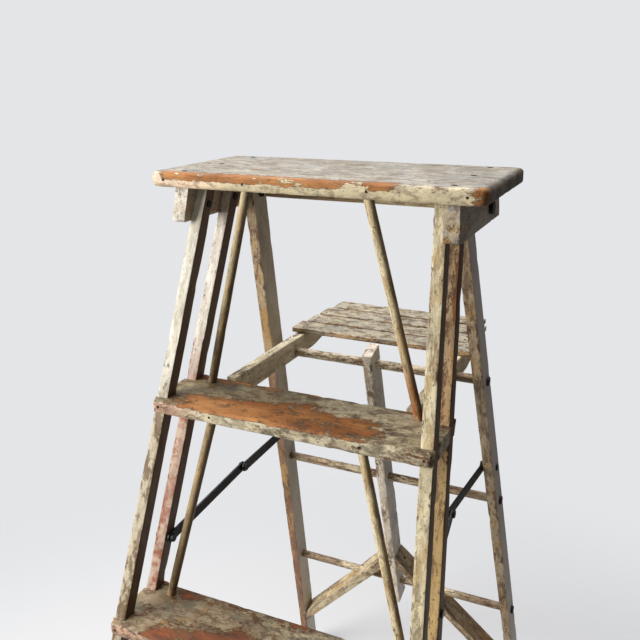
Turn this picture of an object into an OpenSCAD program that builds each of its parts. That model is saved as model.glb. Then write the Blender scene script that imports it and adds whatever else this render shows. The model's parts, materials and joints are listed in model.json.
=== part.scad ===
// Folding wooden step ladder with a pail shelf, shown standing open.
// Millimetres. +Z is up, the treads face -Y, and the origin is on the floor
// under the centre of the footprint. The ladder is symmetric about the plane X = 0,
// but for the pail shelf, which stands a little to the left and has uneven slat ends.

/* [Overall] */
// Rise from the floor to the first tread, between treads, and up to the cap
step_rise = 305; // [290:1:320]
// Half of the distance between the front feet and the rear feet
reach = 467; // [440:1:480]
// Half of the width across the front feet
base_half = 273; // [268:1:290]
// Inward lean of both frames seen from the front, in degrees
splay = 4.5; // [4:0.1:4.8]

/* [Cap] */
// Width of the cap board
cap_w = 468; // [440:1:474]
// Depth of the cap board, front to back
cap_d = 236; // [230:1:240]
// Thickness of the cap board
cap_t = 21; // [17:0.5:22]
// Radius of the cap's corners
cap_corner = 14; // [8:1:22]
// Y position of the cap's front edge
cap_front = -97; // [-100:1:-94]
// Thickness of the cheek brackets under the cap
bracket_t = 20; // [18:0.5:22]
// Height of the cheek brackets
bracket_h = 48; // [46:1:50]

/* [Front section] */
// Backward lean of the front section, in degrees
front_lean = 18.7; // [18.5:0.1:19]
// Width of each thin rail, across the ladder
rail_w = 17.5; // [16:0.5:18]
// Depth of each thin rail, along the ladder's side
rail_d = 21.5; // [20:0.5:22]
// Distance between the two thin rails on one side
rail_pitch = 68; // [66:1:70]
// Thickness of the treads
tread_t = 20; // [18:0.5:22]
// Depth of the treads, front to back
tread_d = 110; // [108:1:112]
// How far a tread's nose stands in front of the front rails
tread_lip = 12; // [10:1:14]
// Radius of the round sway rods between the boards
sway_rod_r = 6.5; // [6:0.5:7]

/* [Rear frame] */
// Rearward lean of the rear frame, in degrees
rear_lean = 17.7; // [17.5:0.1:18]
// Thickness of the rear frame's timber
rear_w = 18; // [17:0.5:18]
// Depth of the rear frame's timber
rear_d = 39; // [38:0.5:40]
// Radius of the rungs and of the stop rod
rung_r = 8; // [7.5:0.5:8.5]
// Heights of the three rungs, from the top one down
rung_z = [882, 628, 336];

/* [Pail shelf] */
// Downward slope of the shelf towards the rear, in degrees
shelf_slope = 1; // [0.5:0.5:1.5]
// Height of the two shelf arms
arm_h = 36; // [35:1:37]
// How far the middle of the arms' height stands above the rung's axis
arm_lift = 6; // [5:0.5:6.5]
// How far the shelf's arms stand to the left of the middle
arm_shift = 6.5; // [4:0.5:6.5]
// Thickness of the two shelf arms
arm_t = 16; // [14:1:18]
// Number of shelf slats
slat_count = 4;
// Width of one slat
slat_w = 46; // [44:1:46]
// Thickness of one slat
slat_t = 9; // [8:0.5:10]
// Gap between a slat's end and the rear rail it swings past
slat_side_gap = 5; // [4:0.5:8]

/* [Spreaders] */
// Width of the flat steel links
link_w = 16; // [14:1:18]
// Thickness of the flat steel links
link_t = 3; // [2.5:0.5:3]
// How far the knee stands above the line between the two end bolts
knee_rise = 20; // [18:1:22]

/* [Hidden] */
$fn = 48;

paint = "wheat";
worn_paint = "burlywood";
bare_wood = "peru";
grey_wood = "tan";
black_steel = "dimgray";

// A large length, for blanks that are trimmed afterwards
blank = 1500;
// Radial clearance of a bolt or rung in a hole that turns on it
turn_fit = 0.06;

total_h = 4*step_rise;
cap_bottom = total_h - cap_t;
cap_setback = 4;
bracket_rear_gap = 6;
bracket_corner = 5;
// How far the bracket's front end leans out from the top to the bottom
bracket_slant = 10;

// Lean of a piece measured in its own splayed side plane
function in_plane(lean) = atan(tan(lean)*cos(splay));
front_tilt = in_plane(front_lean);
rear_tilt = in_plane(rear_lean);

// Half of the width over the front section's rails, at height z
function outer_x(z) = base_half - tan(splay)*z;
// Half of the width between the front section's rails, at height z
function inner_x(z) = outer_x(z) - rail_w/cos(splay);
// Front face of the front rails, at height z
function front_y(z) = -reach + tan(front_lean)*z;
// Front face of the back rails, at height z
function back_y(z) = front_y(z) + rail_pitch/cos(front_tilt);
// Centre line of the back rails, at height z
function back_mid_y(z) = back_y(z) + rail_d/2/cos(front_tilt);

tread_z = [3*step_rise, 2*step_rise, step_rise];
tread_overhang = 2;
function tread_nose_y(z) = front_y(z) - tread_lip;

// The fold axis runs along X through this point
pivot_drop = 48;
pivot_z = total_h - pivot_drop;
pivot_y = reach - tan(rear_lean)*pivot_z - rear_d/2/cos(rear_tilt);
// Centre line of the rear frame, at height z
function rear_y(z) = pivot_y + tan(rear_lean)*(pivot_z - z);
// The rear frame stands this far inside the front section's outer faces
rear_inset = 9;
rear_top_r = 25;
function rear_inner_x(z) = outer_x(z) - (rear_inset + rear_w)/cos(splay);

bolt_r = 4;
small_bolt_r = 3;
nail_r = 1.8;
stop_gap = 0.3;
stop_z = pivot_z - 3;
stop_off = rear_d/2 + rung_r + stop_gap;
stop_y = pivot_y + (stop_off + 3*sin(rear_lean))/cos(rear_lean);
stop_socket = 10;

// Mirrors a right-hand piece to the left when s is -1
module handed(s) { mirror([s < 0 ? 1 : 0, 0, 0]) children(); }

// Height above the floor turned into the side plane's own height, on the layer n
function side_v(z, n) = (z - n*sin(splay))/cos(splay);

// Extrudes an outline drawn in (y, height) from layer n0 to layer n1 of a side plane.
// Layer 0 holds the outer faces of the front section's rails, and inward is negative.
module in_side(s, n0, n1) {
    handed(s) translate([base_half, 0, 0]) rotate([0, -splay, 0])
        translate([n0, 0, 0]) rotate([90, 0, 90]) linear_extrude(n1 - n0) children();
}

// Everything between two heights
module band(z0, z1) {
    translate([-blank/2, -blank/2, z0]) cube([blank, blank, z1 - z0]);
}

// A round bar along X, centred on the symmetry plane
module cross_bar(y, z, r, l) {
    translate([0, y, z]) rotate([0, 90, 0]) cylinder(r = r, h = l, center = true);
}

// A round bar along X that starts at x0 and ends at x1
module x_bar(x0, x1, y, z, r) {
    translate([x0, y, z]) rotate([0, 90, 0]) cylinder(r = r, h = x1 - x0);
}

// ---- cap and brackets ----

module rounded_board(w, d, t, r) {
    linear_extrude(t) union() {
        translate([-w/2 + r, 0]) square([w - 2*r, d]);
        translate([-w/2, r]) square([w, d - 2*r]);
        for (x = [-w/2 + r, w/2 - r], y = [r, d - r]) translate([x, y]) circle(r);
    }
}

cap_screw_head_r = 4.5;
cap_screw_head_t = 2.5;
cap_screw_l = 42;
module cap_screw() {
    translate([0, 0, -cap_screw_l]) cylinder(r = nail_r, h = cap_screw_l);
    translate([0, 0, -cap_screw_head_t]) cylinder(r = cap_screw_head_r, h = cap_screw_head_t);
}

cap_screw_x = outer_x(cap_bottom) + bracket_t/2;
cap_screws_at = [22, 119, 214];
module cap_screws() {
    color(black_steel) for (s = [-1, 1], y = cap_screws_at)
        translate([s*cap_screw_x, cap_front + y, total_h]) cap_screw();
}

// Nails through a board's front edge into the ends of the sway rods
nail_l = 26;
module edge_nail(x, nose, z) {
    translate([x, nose, z]) rotate([-90, 0, 0]) cylinder(r = nail_r, h = nail_l);
}

module cap_nails() {
    color(black_steel) difference() {
        union() for (s = [-1, 1]) {
            edge_nail(s*rod_top_x(cap_bottom), cap_front, cap_bottom + cap_t/2);
            edge_nail(s*(cap_w/2 - 24), cap_front, cap_bottom + cap_t/2);
        }
        for (s = [-1, 1]) sway_rod_blank(s, 0);
    }
}

module cap_board() {
    color(grey_wood) difference() {
        translate([0, cap_front, cap_bottom]) rounded_board(cap_w, cap_d, cap_t, cap_corner);
        cap_screws();
        cap_nails();
        for (s = [-1, 1]) sway_rod(s, 0);
    }
}

module bracket_outline() {
    y0 = cap_front + cap_setback;
    y1 = cap_front + cap_d - bracket_rear_gap;
    v0 = side_v(cap_bottom - bracket_h, 0);
    v1 = side_v(cap_bottom, 0);
    r = bracket_corner;
    difference() {
        translate([y0, v0]) square([y1 - y0, 2*bracket_h]);
        translate([y0, v0]) square(r);
        polygon([[y0 - 1, v0 - 1], [y0, v0 - 1], [y0 + bracket_slant, v1 + 1], [y0 - 1, v1 + 1]]);
    }
    intersection() {
        translate([y0 + r, v0 + r]) circle(r);
        polygon([[y0, v0], [y1, v0], [y1, v1], [y0 + bracket_slant, v1]]);
    }
}

module cheek_bracket(s) {
    color(worn_paint) difference() {
        intersection() {
            in_side(s, 0, bracket_t) bracket_outline();
            band(0, cap_bottom);
        }
        pivot_bolt(s);
        cap_screws();
        bracket_bolts();
        stop_rod();
    }
}

// The rod that the rear rails rest on when the ladder stands open
module stop_rod() {
    color(worn_paint)
        cross_bar(stop_y, stop_z, rung_r, 2*(outer_x(stop_z) + stop_socket));
}

// ---- front section ----

module rail_outline(y_foot) {
    translate([y_foot, 0]) rotate(-front_tilt) translate([0, -blank/20]) square([rail_d, blank]);
}

module thin_rail(s, y_foot) {
    intersection() {
        in_side(s, -rail_w, 0) rail_outline(y_foot);
        band(0, cap_bottom);
    }
}

module front_rail(s) {
    color(paint) difference() {
        thin_rail(s, front_y(0));
        tread_nails();
        bracket_bolts();
    }
}

module back_rail(s) {
    color(paint) difference() {
        thin_rail(s, back_y(0));
        bracket_bolts();
        spreader_front_bolt(s);
    }
}

tread_corner = 8;
module tread(i) {
    z = tread_z[i];
    half = outer_x(z) + tread_overhang;
    color(bare_wood) difference() {
        translate([0, tread_nose_y(z), z - tread_t])
            rounded_board(2*half, tread_d, tread_t, tread_corner);
        for (s = [-1, 1], y_foot = [front_y(0), back_y(0)])
            in_side(s, -rail_w, 4*tread_overhang) rail_outline(y_foot);
        for (s = [-1, 1]) sway_rod(s, i);
        if (i < 2) for (s = [-1, 1]) sway_rod(s, i + 1);
        tread_nails();
    }
}

module tread_nails() {
    color(black_steel) difference() {
        union() for (z = tread_z, s = [-1, 1]) {
            edge_nail(s*(inner_x(z) + rail_w/2), tread_nose_y(z), z - tread_t/2);
            edge_nail(s*rod_top_x(z), tread_nose_y(z), z - tread_t/2);
        }
        for (s = [-1, 1], i = [1, 2]) sway_rod_blank(s, i);
    }
}

// Sway rods run from just behind the front edge of the board above down to a point
// beside the back rail on the tread below. Rod 0 starts in the cap.
rod_top_in = 75;
rod_foot_in = 25;
rod_nose_gap = 10;
rod_foot_gap = 6;
rod_let_in = 11;
rod_foot_let_in = 6;
function rod_top_x(z) = inner_x(z) - rod_top_in;
function rod_board_z(i) = i == 0 ? total_h : tread_z[i - 1];
function rod_board_t(i) = i == 0 ? cap_t : tread_t;
function rod_board_nose(i) = i == 0 ? cap_front : tread_nose_y(rod_board_z(i));
function rod_top(s, i) = [s*rod_top_x(rod_board_z(i) - rod_board_t(i)),
    rod_board_nose(i) + rod_nose_gap, rod_board_z(i) - rod_board_t(i)];
function rod_foot(s, i) = [s*(inner_x(tread_z[i]) - rod_foot_in),
    back_y(tread_z[i]) + rod_foot_gap, tread_z[i]];

module sway_rod_blank(s, i) {
    a = rod_top(s, i);
    d = rod_foot(s, i) - a;
    l = norm(d);
    turn = atan2(d[1], d[0]);
    tip = acos(d[2]/l);
    translate(a) rotate([0, tip, turn]) translate([0, 0, -3*sway_rod_r])
        cylinder(r = sway_rod_r, h = l + 6*sway_rod_r);
}

module sway_rod(s, i) {
    color(paint) intersection() {
        sway_rod_blank(s, i);
        band(tread_z[i] - rod_foot_let_in, rod_board_z(i) - rod_board_t(i) + rod_let_in);
    }
}

// Bolts that hold the thin rails against the brackets
bracket_bolt_drop = 24;
bracket_bolt_head_r = 5;
bracket_bolt_head_t = 1.5;
module bracket_bolts() {
    z = cap_bottom - bracket_bolt_drop;
    color(black_steel) for (s = [-1, 1], y = [front_y(z) + rail_d/2/cos(front_tilt), back_mid_y(z)]) {
        in_side(s, -rail_w, bracket_t - 1) translate([y, side_v(z, 0)]) circle(small_bolt_r);
        in_side(s, -rail_w - bracket_bolt_head_t, -rail_w)
            translate([y, side_v(z, 0)]) circle(bracket_bolt_head_r);
    }
}

// ---- fold pivot ----

pivot_head_r = 9;
pivot_head_t = 5;
pivot_nut_r = 6;
pivot_nut_t = 4;
module pivot_bolt(s) {
    x_in = rear_inner_x(pivot_z) - 1;
    x_out = outer_x(pivot_z) + bracket_t/cos(splay) + 1;
    handed(s) {
        x_bar(x_in - pivot_nut_t, x_out + pivot_head_t, pivot_y, pivot_z, bolt_r);
        x_bar(x_out, x_out + pivot_head_t, pivot_y, pivot_z, pivot_head_r);
        x_bar(x_in - pivot_nut_t, x_in, pivot_y, pivot_z, pivot_nut_r);
    }
}

module pivot_bolts() {
    color(black_steel) for (s = [-1, 1]) pivot_bolt(s);
}

// Washers that fill the gap between the brackets and the rear rails
washer_r = 11;
module pivot_washers() {
    x0 = outer_x(pivot_z) - rear_inset/cos(splay) + 2;
    x1 = outer_x(pivot_z) - 1;
    color(black_steel) for (s = [-1, 1]) handed(s) difference() {
        x_bar(x0, x1, pivot_y, pivot_z, washer_r);
        x_bar(x0 - 1, x1 + 1, pivot_y, pivot_z, bolt_r);
    }
}

// ---- rear frame ----

module rear_rail_outline(n) {
    translate([pivot_y, side_v(pivot_z, n)]) rotate(rear_tilt) intersection() {
        translate([-rear_d/2, -blank]) square([rear_d, 2*blank]);
        union() {
            circle(rear_top_r);
            translate([-rear_d/2, -blank]) square([rear_d, blank]);
        }
    }
}

module rear_rail(s) {
    n0 = -rear_inset - rear_w;
    color(worn_paint) difference() {
        intersection() {
            in_side(s, n0, -rear_inset) rear_rail_outline(n0/2 - rear_inset/2);
            band(0, total_h);
        }
        cross_bar(pivot_y, pivot_z, bolt_r + turn_fit, blank);
        for (i = [0:2]) rung(i);
        spreader_rear_bolt(s);
    }
}

rung_proud = 4;
module rung(i) {
    color(worn_paint) cross_bar(rear_y(rung_z[i]), rung_z[i], rung_r,
        2*(outer_x(rung_z[i]) - rear_inset + rung_proud));
}

// Draws in the rear frame's plane: X across, Z up the frame, Y out of its rear face
module rear_plane() {
    translate([0, pivot_y, pivot_z]) rotate([rear_lean, 0, 0]) children();
}
// Distance down the rear frame's plane from the fold axis to height z
function rear_drop(z) = (pivot_z - z)/cos(rear_lean);

stile_above = 28;
stile_below = 58;
stile_round = 6;
module centre_stile() {
    top = -rear_drop(rung_z[0]) + stile_above;
    tip = -rear_drop(rung_z[2]) - stile_below;
    w = rear_w;
    color(worn_paint) difference() {
        rear_plane() intersection() {
            translate([0, rear_d/2, 0]) rotate([90, 0, 0]) linear_extrude(rear_d)
                polygon([[-w/2, tip + w], [w/4, tip], [w/2, tip + w/2], [w/2, top], [-w/2, top]]);
            translate([-w, 0, 0]) rotate([90, 0, 90]) linear_extrude(2*w) union() {
                translate([-rear_d/2, tip - 1])
                    square([rear_d, top - tip + 1 - stile_round]);
                translate([stile_round - rear_d/2, tip]) square([rear_d - 2*stile_round, top - tip]);
                for (y = [-1, 1]) translate([y*(rear_d/2 - stile_round), top - stile_round])
                    circle(stile_round);
            }
        }
        for (i = [0:2]) rung(i);
        brace_screws();
    }
}

// The braces run from the stile down and out to the rear rails
brace_top_z = 425;
brace_foot_z = 150;
brace_foot_x = rear_inner_x(brace_foot_z);
brace_rise = rear_drop(brace_foot_z) - rear_drop(brace_top_z);
brace_tip = atan2(brace_rise, brace_foot_x - rear_w/2);

// Places a child at the brace's upper outer corner, with its length along +X
module along_brace(s) {
    handed(s) rear_plane() translate([rear_w/2, 0, -rear_drop(brace_top_z)])
        rotate([0, brace_tip, 0]) children();
}

module diagonal_brace(s) {
    color(worn_paint) difference() {
        intersection() {
            along_brace(s) translate([-rear_w, -rear_d/2, -rear_w])
                cube([2*base_half, rear_d, rear_w]);
            in_side(s, -2*base_half, -rear_inset - rear_w) square([2*blank, 2*blank], center = true);
            handed(s) translate([rear_w/2, -blank/2, 0]) cube([blank, blank, blank]);
        }
        rung(2);
        brace_screws();
    }
}

// Screws through the top face of each brace into the stile and down into the rail
brace_screw_l = 30;
module brace_screws() {
    color(black_steel) for (s = [-1, 1]) along_brace(s) {
        translate([22, 0, -brace_screw_l]) cylinder(r = nail_r, h = brace_screw_l);
        translate([22, 0, -1.5]) cylinder(r = small_bolt_r, h = 1.5);
    }
}

// ---- pail shelf ----

shelf_y = rear_y(rung_z[0]);
shelf_z = rung_z[0];
arm_inner_x = 134.5;
arm_front = 243;
arm_rear = 216;
slat_rear = 230;
arm_full = 73;
arm_tip_h = 10;
notch_l = 35;
notch_drop = 18;
arm_top = arm_lift + arm_h/2;
arm_low = arm_lift - arm_h/2;
slat_first = 31;
slat_pitch = (slat_rear - slat_first - slat_w)/(slat_count - 1);
// Front edge of a slat, in the shelf's own frame
function slat_y(i) = slat_first + i*slat_pitch;
// Left end of a slat: each one passes between the rear rails when the shelf folds
function slat_left(i) = slat_side_gap - rear_inner_x(shelf_z + (slat_y(i) + slat_w)*cos(rear_lean));
// Right end of a slat: these ends fall further short of the rail towards the rear
slat_short = 6;
slat_shorter = 3;
function slat_right(i) = -slat_left(i) - slat_short - slat_shorter*i;

// The shelf's own frame: the axis of the upper rung, Y towards the rear, Z up
module shelf_plane() {
    translate([0, shelf_y, shelf_z]) rotate([-shelf_slope, 0, 0]) children();
}

module arm_outline() {
    polygon([[-arm_front, arm_low + 6], [-arm_front + 10, arm_low], [arm_full, arm_low],
        [arm_rear, arm_top - arm_tip_h], [arm_rear, arm_top],
        [notch_l - arm_front, arm_top], [notch_l - arm_front, arm_top - notch_drop],
        [-arm_front, arm_top - notch_drop]]);
}

module shelf_arm(s) {
    color(worn_paint) difference() {
        shelf_plane() translate([s*(arm_inner_x + arm_t/2) - arm_t/2 - arm_shift, 0, 0])
            rotate([90, 0, 90]) linear_extrude(arm_t) arm_outline();
        cross_bar(shelf_y, shelf_z, rung_r + turn_fit, blank);
        slat_nails();
    }
}

module shelf_slat(i) {
    color(grey_wood) difference() {
        shelf_plane() translate([slat_left(i), slat_y(i), arm_top])
            cube([slat_right(i) - slat_left(i), slat_w, slat_t]);
        slat_nails();
    }
}

slat_nail_l = 18;
slat_nail_in = 6;
module slat_nails() {
    color(black_steel) shelf_plane()
        for (i = [0:slat_count - 1], x = [-1, 1]*(arm_inner_x + slat_nail_in), k = [0.2, 0.58])
            translate([x - arm_shift, slat_y(i) + k*slat_w, arm_top + slat_t - slat_nail_l])
                cylinder(r = nail_r, h = slat_nail_l);
}

// ---- spreaders ----

spread_front_z = 684;
spread_rear_z = 704;
front_end = [back_mid_y(spread_front_z), spread_front_z];
rear_end = [rear_y(spread_rear_z), spread_rear_z];
span = rear_end - front_end;
half_span = norm(span)/2;
link_l = sqrt(pow(half_span, 2) + pow(knee_rise, 2));
span_angle = atan2(span[1], span[0]);
knee_angle = atan2(knee_rise, half_span);
knee = front_end + link_l*[cos(span_angle + knee_angle), sin(span_angle + knee_angle)];

// X of each link's outer face at its end bolt and at the knee
link_gap = 1.4;
front_link_x = inner_x(spread_front_z) - link_gap;
front_knee_x = 183;
rear_link_x = rear_inner_x(spread_rear_z) - link_gap;
rear_knee_x = front_knee_x - link_t - 1.6;

// A flat link from point a to point b in the (y, z) plane, with its outer face at xa and xb
module flat_link(a, b, xa, xb) {
    d = b - a;
    swing = atan2(xa - xb, norm(d));
    l = norm(d)/cos(swing);
    difference() {
        translate([xa, a[0], a[1]]) rotate([atan2(d[1], d[0]), 0, 0]) rotate([0, 0, swing])
            translate([-link_t, 0, 0]) rotate([90, 0, 90]) linear_extrude(link_t) union() {
                translate([0, -link_w/2]) square([l, link_w]);
                for (u = [0, l]) translate([u, 0]) circle(link_w/2);
            }
        for (p = [a, b]) cross_bar(p[0], p[1], small_bolt_r + turn_fit, blank);
    }
}

module spreader_front_link(s) {
    color(black_steel) handed(s) flat_link(front_end, knee, front_link_x, front_knee_x);
}

module spreader_rear_link(s) {
    color(black_steel) handed(s) flat_link(rear_end, knee, rear_link_x, rear_knee_x);
}

spread_head_r = 6;
spread_head_t = 3;
head_gap = 1.8;
module spreader_end_bolt(s, p, x_link, x_out) {
    x_head = x_link - link_t - head_gap;
    handed(s) {
        x_bar(x_head - spread_head_t, x_out + 2, p[0], p[1], small_bolt_r);
        x_bar(x_head - spread_head_t, x_head, p[0], p[1], spread_head_r);
        x_bar(x_out, x_out + 2, p[0], p[1], spread_head_r);
    }
}

module spreader_front_bolt(s) {
    spreader_end_bolt(s, front_end, front_link_x, outer_x(spread_front_z) + 0.6);
}

module spreader_rear_bolt(s) {
    spreader_end_bolt(s, rear_end, rear_link_x, outer_x(spread_rear_z) - rear_inset + 0.6);
}

module spreader_front_bolts() {
    color(black_steel) for (s = [-1, 1]) spreader_front_bolt(s);
}

module spreader_rear_bolts() {
    color(black_steel) for (s = [-1, 1]) spreader_rear_bolt(s);
}

// Thin washers between each link and its bolt head
module end_washer(p, x_link) {
    difference() {
        x_bar(x_link - link_t - head_gap, x_link - link_t - head_gap/2, p[0], p[1], spread_head_r);
        cross_bar(p[0], p[1], small_bolt_r, blank);
    }
}

module spreader_front_washers() {
    color(black_steel) for (s = [-1, 1]) handed(s) end_washer(front_end, front_link_x);
}

module spreader_rear_washers() {
    color(black_steel) for (s = [-1, 1]) handed(s) end_washer(rear_end, rear_link_x);
}

// The knee's rivet stays in the front link, and its burr in the rear link
knee_head_t = 2.5;
knee_gap = 0.6;
module knee_rivet(s) {
    x = front_knee_x + knee_gap;
    color(black_steel) handed(s) {
        x_bar(front_knee_x - link_t + 0.3, x, knee[0], knee[1], small_bolt_r);
        x_bar(x, x + knee_head_t, knee[0], knee[1], spread_head_r);
    }
}

module knee_burr(s) {
    x = rear_knee_x - link_t - knee_gap;
    color(black_steel) handed(s) {
        x_bar(x, rear_knee_x - 0.3, knee[0], knee[1], small_bolt_r);
        x_bar(x - knee_head_t, x, knee[0], knee[1], spread_head_r);
    }
}

cap_board();
cheek_bracket(-1);  // cheek_bracket_left
cheek_bracket(1);  // cheek_bracket_right
front_rail(-1);  // front_rail_left
front_rail(1);  // front_rail_right
back_rail(-1);  // back_rail_left
back_rail(1);  // back_rail_right
tread(0);  // tread_upper
tread(1);  // tread_middle
tread(2);  // tread_lower
sway_rod(-1, 0);  // sway_rod_upper_left
sway_rod(1, 0);  // sway_rod_upper_right
sway_rod(-1, 1);  // sway_rod_middle_left
sway_rod(1, 1);  // sway_rod_middle_right
sway_rod(-1, 2);  // sway_rod_lower_left
sway_rod(1, 2);  // sway_rod_lower_right
stop_rod();
pivot_bolts();
pivot_washers();
cap_screws();
cap_nails();
tread_nails();
bracket_bolts();
spreader_front_bolts();
spreader_front_washers();
rear_rail(-1);  // rear_rail_left
rear_rail(1);  // rear_rail_right
centre_stile();
rung(0);  // rung_upper
rung(1);  // rung_middle
rung(2);  // rung_lower
diagonal_brace(-1);  // diagonal_brace_left
diagonal_brace(1);  // diagonal_brace_right
brace_screws();
spreader_rear_bolts();
spreader_rear_washers();
shelf_arm(-1);  // shelf_arm_left
shelf_arm(1);  // shelf_arm_right
shelf_slat(0);  // shelf_slat_1
shelf_slat(1);  // shelf_slat_2
shelf_slat(2);  // shelf_slat_3
shelf_slat(3);  // shelf_slat_4
slat_nails();
spreader_front_link(-1);  // spreader_front_link_left
spreader_front_link(1);  // spreader_front_link_right
spreader_rear_link(-1);  // spreader_rear_link_left
spreader_rear_link(1);  // spreader_rear_link_right
knee_rivet(-1);  // knee_rivet_left
knee_rivet(1);  // knee_rivet_right
knee_burr(-1);  // knee_burr_left
knee_burr(1);  // knee_burr_right
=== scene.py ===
"""Looks of the folding wooden step ladder: worn paint over old timber, black steel spreaders.

Timber is drawn here as bars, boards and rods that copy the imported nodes' sizes, with worn
edges. Lengths are in millimetres until a vertex is made, when MM turns them into metres.
"""

import json
import math

import bmesh
import bpy
from mathutils import Matrix, Vector, noise


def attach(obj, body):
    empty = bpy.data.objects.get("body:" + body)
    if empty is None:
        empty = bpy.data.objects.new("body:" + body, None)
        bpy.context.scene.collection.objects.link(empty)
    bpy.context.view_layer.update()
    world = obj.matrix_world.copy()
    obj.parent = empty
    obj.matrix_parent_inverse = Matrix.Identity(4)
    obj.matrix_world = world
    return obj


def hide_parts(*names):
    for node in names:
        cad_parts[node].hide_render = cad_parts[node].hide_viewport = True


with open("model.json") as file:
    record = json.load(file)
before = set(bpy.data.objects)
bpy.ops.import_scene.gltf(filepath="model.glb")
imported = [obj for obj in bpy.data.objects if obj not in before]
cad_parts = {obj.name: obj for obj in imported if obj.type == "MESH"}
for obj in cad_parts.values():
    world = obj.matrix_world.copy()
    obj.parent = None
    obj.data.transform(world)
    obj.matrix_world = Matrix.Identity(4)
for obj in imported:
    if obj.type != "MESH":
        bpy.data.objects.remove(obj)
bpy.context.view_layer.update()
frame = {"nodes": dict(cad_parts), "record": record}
record = frame["record"]
MM = 0.001
BODY = {n: b for b, ns in record["behaviour"]["bodies"].items() for n in ns}
SLOT = {s["node"]: s["material_slot"] for s in record["subparts"]}

# ---------------------------------------------------------------- the ladder's dimensions
RISE = 305
REACH = 467
BASE_HALF = 273
SPLAY = math.radians(4.5)
FRONT_LEAN = math.radians(18.7)
REAR_LEAN = math.radians(17.7)
FRONT_TILT = math.atan(math.tan(FRONT_LEAN) * math.cos(SPLAY))
REAR_TILT = math.atan(math.tan(REAR_LEAN) * math.cos(SPLAY))
RAIL_W, RAIL_D, RAIL_PITCH = 17.5, 21.5, 68
REAR_W, REAR_D, REAR_INSET, REAR_TOP_R = 18, 39, 9, 25
CAP_W, CAP_D, CAP_T, CAP_FRONT, CAP_CORNER = 468, 236, 21, -97, 14
BRACKET_T, BRACKET_DROP = 20, 48
PIVOT_DROP = 48
TOP = 4 * RISE
CAP_BOTTOM = TOP - CAP_T
TREAD_Z = {"upper": 3 * RISE, "middle": 2 * RISE, "lower": RISE}
TREAD_T, TREAD_D, TREAD_LIP, TREAD_OVER, TREAD_CORNER = 20, 110, 12, 2, 8
PIVOT_Z = TOP - PIVOT_DROP
PIVOT_Y = REACH - math.tan(REAR_LEAN) * PIVOT_Z - REAR_D / 2 / math.cos(REAR_TILT)
RUNG_Z = {"upper": 882, "middle": 628, "lower": 336}
RUNG_R = 8
RUNG_PROUD = 4
ROD_R = 6.5
SLIP = 0.2  # gap left where a drawn piece meets another in a notch or on a flat


def outer_x(z):
    return BASE_HALF - math.tan(SPLAY) * z


def inner_x(z):
    return outer_x(z) - RAIL_W / math.cos(SPLAY)


def rear_inner_x(z):
    return outer_x(z) - (REAR_INSET + REAR_W) / math.cos(SPLAY)


def front_y(z):
    return -REACH + math.tan(FRONT_LEAN) * z


def back_y(z):
    return front_y(z) + RAIL_PITCH / math.cos(FRONT_TILT)


def rear_y(z):
    return PIVOT_Y + math.tan(REAR_LEAN) * (PIVOT_Z - z)


# ---------------------------------------------------------------- mesh building
def new_piece(name, verts, faces, grain, edge, node, mat):
    """Makes the object, keeps its grain and edge values, and lets it stand for its CAD node."""
    mesh = bpy.data.meshes.new(name)
    mesh.from_pydata([Vector(v) * MM for v in verts], [], faces)
    bm = bmesh.new()
    bm.from_mesh(mesh)
    bmesh.ops.recalc_face_normals(bm, faces=bm.faces)
    bm.to_mesh(mesh)
    bm.free()
    seed = seed_of(name)
    lines = mesh.attributes.new("grain", "FLOAT_VECTOR", "POINT")
    lines.data.foreach_set("vector", [c for v in grain for c in Vector(v) * MM + seed])
    rims = mesh.attributes.new("edge", "FLOAT", "POINT")
    rims.data.foreach_set("value", edge)
    mesh.polygons.foreach_set("use_smooth", [True] * len(mesh.polygons))
    mesh.set_sharp_from_angle(angle=math.radians(38))
    obj = bpy.data.objects.new(name, mesh)
    bpy.context.scene.collection.objects.link(obj)
    mesh.materials.append(mat)
    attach(obj, BODY[node])
    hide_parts(node)
    return obj


def seed_of(name):
    """A fixed shift of the grain for each piece, so that no two wear in the same way."""
    k = sum((i + 1) * ord(c) for i, c in enumerate(name))
    return Vector(((k * 0.137) % 5, (k * 0.259) % 5, (k * 0.391) % 5))


def rough(p, size, amount):
    """A smooth inward wobble of 0 to amount at point p."""
    return amount * (0.5 + 0.5 * noise.noise(Vector(p) / size))


def chip(p, size, depth, limit=0.25):
    """A bite out of a worn edge: 0 where the noise is under the limit."""
    n = noise.noise(Vector(p) / size) + 0.45 * noise.noise(Vector(p) / (size * 0.31))
    return depth * max(0.0, min(1.0, (n - limit) / 0.35))


def rounded_section(a0, a1, b0, b1, r, side_steps=2, arc_steps=3):
    """Points of a rounded rectangle as (a, b, normal a, normal b, edge value)."""
    pts = []
    corners = [(a1 - r, b1 - r, 0), (a0 + r, b1 - r, 90), (a0 + r, b0 + r, 180), (a1 - r, b0 + r, 270)]
    for k, (ca, cb, start) in enumerate(corners):
        for i in range(arc_steps + 1):
            t = math.radians(start + 90 * i / arc_steps)
            pts.append((ca + r * math.cos(t), cb + r * math.sin(t), math.cos(t), math.sin(t), 1.0))
        end = pts[-1]
        na, nb, nstart = corners[(k + 1) % 4]
        t = math.radians(nstart)
        nxt = (na + r * math.cos(t), nb + r * math.sin(t))
        flank = math.radians(start + 90)
        span = math.hypot(nxt[0] - end[0], nxt[1] - end[1])
        inset = min(3.5, span * 0.3) / span
        stops = [inset + (1 - 2 * inset) * i / side_steps for i in range(side_steps + 1)]
        for s in stops:
            pts.append((end[0] + s * (nxt[0] - end[0]), end[1] + s * (nxt[1] - end[1]),
                        math.cos(flank), math.sin(flank), 0.0))
    return pts


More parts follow.
